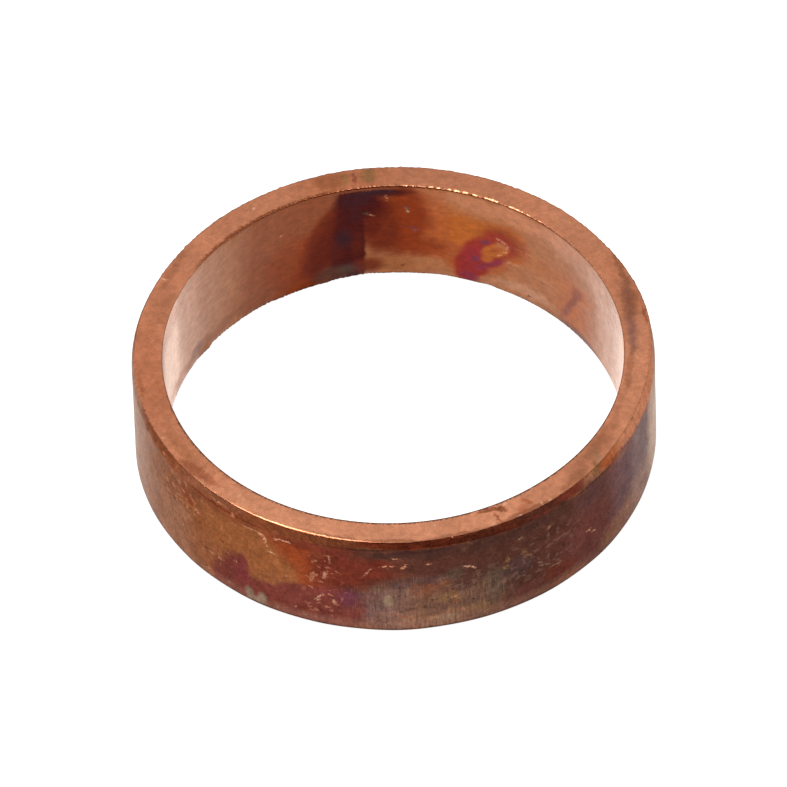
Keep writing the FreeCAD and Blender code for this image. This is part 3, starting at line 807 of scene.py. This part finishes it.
# Smaller stains, whose rims wander less.
SHARP_STAINS = [
    # The rust-coloured blotch at the right, and the foot of the golden field.
    ("amber", 29.5, 3.35, 1, 0.2, -5, 0.6, 0.7), ("amber", 33, 2.9, 0.7, 0.4, -20, 0.9, 0.6),
    ("amber", 36, 1.2, 0.6, 0.9, 0, 0.9, 0.6), ("rust", 35.5, 2.9, 0.5, 0.3, -40, 0.7, 0.6),
    ("rust", 37.4, 2.1, 0.8, 0.18, -60, 0.8, 0.6), ("plum", 39.6, 1.2, 0.8, 0.22, -62, 0.6, 0.6),
    ("dusk", 36, 0.15, 1.6, 0.25, 0, 0.6, 0.6), ("fox", 81.5, 0.66, 1.9, 0.46, 0, 1, 0.25),
    ("golden", 89, 0.66, 1, 0.46, 0, 0.9, 0.3),
    # The dark stain at the back.
    ("sorrel", 106, 4.1, 0.4, 1.5, 35, 0.9, 0.5), ("russet", 107, 2, 0.75, 1.6, 15, 0.9, 0.5),
    ("russet", 104.4, 3.2, 0.55, 2.2, 20, 0.9, 0.5), ("sorrel", 94.2, 2.7, 0.5, 0.9, 0, 0.9, 0.5),
    ("russet", 94.6, 3.5, 0.5, 0.8, 0, 0.9, 0.5), ("russet", 93.5, 4.7, 0.8, 0.85, 0, 0.9, 0.4),
    ("wine", 95.5, 4.9, 0.8, 0.85, 0, 1, 0.5), ("wine", 99, 5.2, 0.85, 1.4, 0, 1, 0.35),
    ("wine", 98.9, 2.6, 0.55, 6, 0, 1, 0.2), ("wine", 101.6, 2.6, 0.6, 3.4, 8, 1, 0.4),
    ("russet", 98.2, 2.2, 0.3, 0.8, 0, 0.6, 0.6), ("russet", 104, 1.9, 0.4, 0.8, 0, 0.5, 0.6),
    ("sorrel", 95.5, 0.7, 0.7, 0.5, 0, 0.9, 0.5), ("rust", 86, 5.3, 1, 0.5, 0, 0.8, 0.5),
    ("sorrel", 90, 5.8, 1.3, 0.3, 0, 0.8, 0.4), ("wine", 90, 5.6, 1.1, 0.24, 0, 0.9, 0.5),
    ("blue_black", 93, 5.7, 0.9, 0.2, 0, 0.9, 0.5), ("blue_black", 98, 5.3, 0.8, 0.5, 0, 0.6, 0.6),
    ("blue_black", 101.5, 2.7, 0.4, 0.6, 0, 0.7, 0.6),
    ("blue_black", 98.5, 4.2, 0.3, 0.4, 0, 0.4, 0.6), ("slate", 101.5, 0.5, 0.9, 0.5, 0, 0.35, 0.6),
    ("maroon", 105.5, 0.4, 0.8, 0.5, 0, 0.9, 0.5), ("olive", 101, 0.6, 0.4, 0.22, 0, 0.35, 0.6),
    # The ringed spot, from its halo inwards.
    ("orange", 57.3, 3.45, 0.9, 1, 0, 0.9, 0.4), ("amber", 64, 3.5, 1.8, 0.8, -25, 0.9, 0.4),
    ("amber", 57.5, 2.5, 0.7, 0.3, -15, 0.7, 0.5), ("rust", 60.5, 3.3, 1.1, 1, -25, 0.8, 0.4),
    ("orange", 64, 1.3, 1.1, 0.45, -32, 0.8, 0.4), ("orange", 72.2, 1.3, 0.8, 0.8, -60, 0.9, 0.35),
    ("garnet", 61.5, 3.1, 0.9, 0.84, -25, 0.9, 0.3), ("garnet", 66.3, 2.3, 1.15, 0.8, -42, 1, 0.25),
    ("garnet", 64.2, 1.75, 0.9, 0.42, -34, 1, 0.3),
    ("garnet", 67.2, 0.95, 0.65, 0.42, -45, 1, 0.35),
    ("garnet", 70.4, 1.2, 0.75, 0.62, -60, 1, 0.25), ("garnet", 70.8, 0.4, 0.5, 0.5, 0, 1, 0.4),
    ("crimson", 67.8, 1.9, 0.95, 0.62, -48, 0.9, 0.4),
    ("crimson", 69.8, 0.9, 0.5, 0.5, -50, 0.8, 0.5), ("magenta", 69.6, 0.35, 0.5, 0.3, 0, 0.8, 0.4),
    ("magenta", 63.7, 1.6, 0.85, 0.16, -34, 0.8, 0.5),
    ("magenta", 66.3, 1.1, 0.25, 0.14, -20, 0.7, 0.5),
    ("violet", 65.1, 3, 0.25, 0.15, -20, 0.6, 0.6), ("violet", 67.8, 1.7, 0.2, 0.2, 0, 0.6, 0.5),
    ("amber", 62.4, 2.6, 0.85, 0.4, -36, 1, 0.25), ("amber", 64.6, 1.9, 0.35, 0.22, -36, 0.9, 0.5),
    ("fox", 60.4, 3.1, 0.4, 0.25, -20, 0.6, 0.5), ("orange", 62, 2.75, 0.5, 0.1, -36, 0.7, 0.5),
]

# Scratches and specks.
INSIDE_MARKS = {
    "steel": [(85.3, 4.5, 0.1, 0.16, -25, 0.7)],
    "sand": [(85.2, 4.35, 0.06, 0.16, -25, 0.8)],
    "violet": [(84.5, 3.22, 0.32, 0.05, 0, 0.7)],
    "mauve": [(83.2, 3.05, 0.16, 0.1, 0, 0.6)],
    "dark_brown": [
        (86.8, 0.55, 0.12, 0.1, 0, 0.9), (120.8, 2.5, 0.14, 0.18, 0, 0.5),
        (52.7, 0.42, 0.12, 0.08, 0, 0.9),
    ],
    "tan": [(90.3, 5.25, 0.07, 0.16, -10, 0.9), (94.6, 4.15, 0.22, 0.05, 20, 0.8)],
    "olive": [(95.8, 4.3, 0.14, 0.06, 0, 0.7)],
    "clean": [
        (58.9, 3.1, 0.06, 0.16, 10, 0.9), (59.6, 2.75, 0.14, 0.05, -20, 0.8),
        (118.3, 4.2, 0.06, 0.06, 0, 0.9), (53.5, 3.3, 0.5, 0.03, 0, 0.7),
        (57.3, 2.15, 0.35, 0.04, -6, 0.8), (49, 2.05, 0.5, 0.03, 3, 0.6),
        (61.2, 2.4, 0.22, 0.05, -30, 0.8),
    ],
    "salmon": [(60, 3.4, 0.18, 0.06, 15, 1), (61.4, 3.5, 0.16, 0.05, 0, 0.8)],
    "amber": [(63.5, 2.2, 0.3, 0.06, -30, 0.8)],
    "rust": [(62.5, 2.6, 0.3, 0.05, -25, 0.7)],
    "brown": [
        (128.5, 5.2, 0.2, 0.05, 0, 0.9), (136.8, 1.95, 0.24, 0.04, 8, 0.8),
        (134.7, 1.2, 0.14, 0.07, 0, 0.7), (145.6, 2.1, 0.24, 0.07, 12, 0.9),
        (143.6, 1.6, 0.2, 0.05, 20, 0.7), (48, 4.3, 0.16, 0.05, 8, 0.8),
        (34.8, 5.55, 0.16, 0.05, -15, 0.7),
    ],
}


def inside_finish(sector):
    """Bore: brighter copper, rubbed round the ring, with the strongest heat stains, paler where it
    turns edge-on partly as painted reflection, and painted shade along its foot and lip.
    """
    finish = Finish("bore_copper", sector, BORE_MM)
    near_side = finish.film([(0.32, "rose"), (0.5, "salmon"), (0.58, "fox"), (0.64, "ember"),
                             (0.7, "rust"), (0.78, "wine")])
    colour = finish.mixed(finish.ranged(finish.across, -3.0, 1.0), near_side, "fox")
    colour = finish.stains(colour, INSIDE_STAINS, finish.wavy, drift=0.8)
    colour = finish.stains(colour, SHARP_STAINS, finish.close, drift=0.2)
    rubbed = finish.cloud(finish.stretched(finish.crisp, (0.3, 0.3, 1)), 6.0, 3.0, 0.6)
    colour = finish.shaded(colour, rubbed, 0.09)
    colour = finish.mottled(colour, [(3.0, 4.0, 0.65, 0.1)])
    colour = finish.marks(colour, INSIDE_MARKS)

    rough_edge = finish.times(finish.broken, 0.07)
    # A dark line along the foot, broken by noise: painted contact shadow where the bore meets the
    # floor.
    foot_shadow_line = finish.plus(finish.height, rough_edge)
    colour = finish.mixed(finish.ranged(foot_shadow_line, 0.16, 0.06, 0, 0.75), colour, "soot_and_shadow")
    lip = finish.maths("SUBTRACT", finish.height, rough_edge)
    # Painted shade: a dark band along the top of the bore over the far left, where the broken lip
    # faces away from the light.
    lip_shade_patch = finish.ranged(finish.away(finish.place, 112, 6.0, 5.4, 3.0), 0.6, 1.1, 1, 0)
    painted_lip_shade = finish.times(finish.ranged(lip, 5.76, 5.86, 0, 0.8), lip_shade_patch)
    colour = finish.mixed(painted_lip_shade, colour, "chestnut")
    # Painted shade: a faint dark line under the lip at the back.
    under_lip_shade = finish.ranged(finish.away(finish.place, 64, 6.0, 6.4, 3.0), 0.8, 1.1, 0.25, 0)
    painted_lip_shade = finish.times(finish.ranged(lip, 5.84, 5.92), under_lip_shade)
    colour = finish.mixed(painted_lip_shade, colour, "dark_brown")

    grain = finish.cloud(finish.place, 10.0, 3.0, 0.6)
    height = finish.plus(rubbed, finish.times(grain, 0.4))
    roughness = finish.ranged(finish.cloud(finish.place, 2.0), 0.3, 0.7, 0.24, 0.36)
    return finish.finish(colour, roughness, height, bump_mm=0.008, edge_tint=1.0)


# --- floor, light and camera

def make_floor():
    """A pale light table that brightens the metal from below, and is clear from underneath."""
    half = 0.6
    level = -0.02 * MM
    corners = [(-half, -half), (half, -half), (half, half), (-half, half)]
    mesh = bpy.data.meshes.new("floor")
    mesh.from_pydata([(x, y, level) for x, y in corners], [], [(0, 1, 2, 3)])
    floor = bpy.data.objects.new("floor", mesh)
    bpy.context.scene.collection.objects.link(floor)
    material = bpy.data.materials.new("floor_white")
    material.use_nodes = True
    nodes, links = material.node_tree.nodes, material.node_tree.links
    shader = nodes["Principled BSDF"]
    for name, value in (("Base Color", (0.25, 0.25, 0.25, 1)), ("Roughness", 0.9),
                        ("Specular IOR Level", 0), ("Emission Color", (1, 1, 1, 1)),
                        ("Emission Strength", 0.95)):
        shader.inputs[name].default_value = value
    clear = nodes.new("ShaderNodeBsdfTransparent")
    either = nodes.new("ShaderNodeMixShader")
    links.new(nodes.new("ShaderNodeNewGeometry").outputs["Backfacing"], either.inputs["Fac"])
    links.new(shader.outputs["BSDF"], either.inputs[1])
    links.new(clear.outputs["BSDF"], either.inputs[2])
    links.new(either.outputs["Shader"], nodes["Material Output"].inputs["Surface"])
    mesh.materials.append(material)


DARK_SIDE = Vector((0.25, -0.95, 0.18)).normalized()
WALL_LIGHT = 0.75
DARK_LIGHT = 0.05


def make_world():
    """White all round, except for a dark side of the room on the ring's near side."""
    world = bpy.data.worlds.new("studio")
    bpy.context.scene.world = world
    world.use_nodes = True
    nodes, links = world.node_tree.nodes, world.node_tree.links
    place = nodes.new("ShaderNodeTexCoord")
    facing = nodes.new("ShaderNodeVectorMath")
    facing.operation = "DOT_PRODUCT"
    facing.inputs[1].default_value = DARK_SIDE
    links.new(place.outputs["Generated"], facing.inputs[0])
    fade = nodes.new("ShaderNodeMapRange")
    fade.interpolation_type = "SMOOTHSTEP"
    for name, value in (("From Min", 0.45), ("From Max", 0.85),
                        ("To Min", WALL_LIGHT), ("To Max", DARK_LIGHT)):
        fade.inputs[name].default_value = value
    links.new(facing.outputs["Value"], fade.inputs["Value"])
    links.new(fade.outputs["Result"], nodes["Background"].inputs["Strength"])
    nodes["Background"].inputs["Color"].default_value = (1, 1, 1, 1)


SOFTBOX_ABOVE = Vector((-0.27, 0.15, 0.95)).normalized()
SOFTBOX_DISTANCE = 0.9
SOFTBOX_SIZE = 0.5
SOFTBOX_WATTS = 7


def make_softbox():
    """The overhead light, a little to the left, that catches the rounded edges."""
    light = bpy.data.lights.new("softbox", "AREA")
    light.shape = "DISK"
    light.size = SOFTBOX_SIZE
    light.energy = SOFTBOX_WATTS
    lamp = bpy.data.objects.new("softbox", light)
    lamp.location = SOFTBOX_ABOVE * SOFTBOX_DISTANCE
    lamp.rotation_euler = SOFTBOX_ABOVE.to_track_quat("Z", "Y").to_euler()
    bpy.context.scene.collection.objects.link(lamp)


CAMERA_ELEVATION = 46.93
CAMERA_ROLL = -1.89
CAMERA_DISTANCE = 62 * OUTER_MM * MM
AIM = Vector((0, 0, 0.49 * HEIGHT_MM * MM))
SENSOR_WIDTH = 36
LENS = 740.2
SHIFT_X = -0.00119
SHIFT_Y = 0.00484


def make_camera():
    """A long lens far away, looking down on the ring from the near side."""
    data = bpy.data.cameras.new("camera")
    data.sensor_width = SENSOR_WIDTH
    data.lens = LENS
    data.shift_x = SHIFT_X
    data.shift_y = SHIFT_Y
    data.clip_start = 0.01
    data.clip_end = 10
    camera = bpy.data.objects.new("camera", data)
    tilt = math.radians(CAMERA_ELEVATION)
    back = Vector((0, -math.cos(tilt), math.sin(tilt)))
    camera.location = AIM + back * CAMERA_DISTANCE
    look = back.to_track_quat("Z", "Y").to_matrix()
    roll = Matrix.Rotation(math.radians(CAMERA_ROLL), 3, "Z")
    camera.rotation_euler = (look @ roll).to_euler()
    bpy.context.scene.collection.objects.link(camera)
    bpy.context.scene.camera = camera


def main():
    ring = make_ring()
    for make_finish in (outside_finish, ends_finish, inside_finish):
        for sector in range(SECTORS):
            ring.data.materials.append(make_finish(sector))
    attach(ring, BODY)
    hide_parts(NODE)
    make_floor()
    make_world()
    make_softbox()
    make_camera()
    bpy.context.scene.view_settings.view_transform = "Standard"


main()
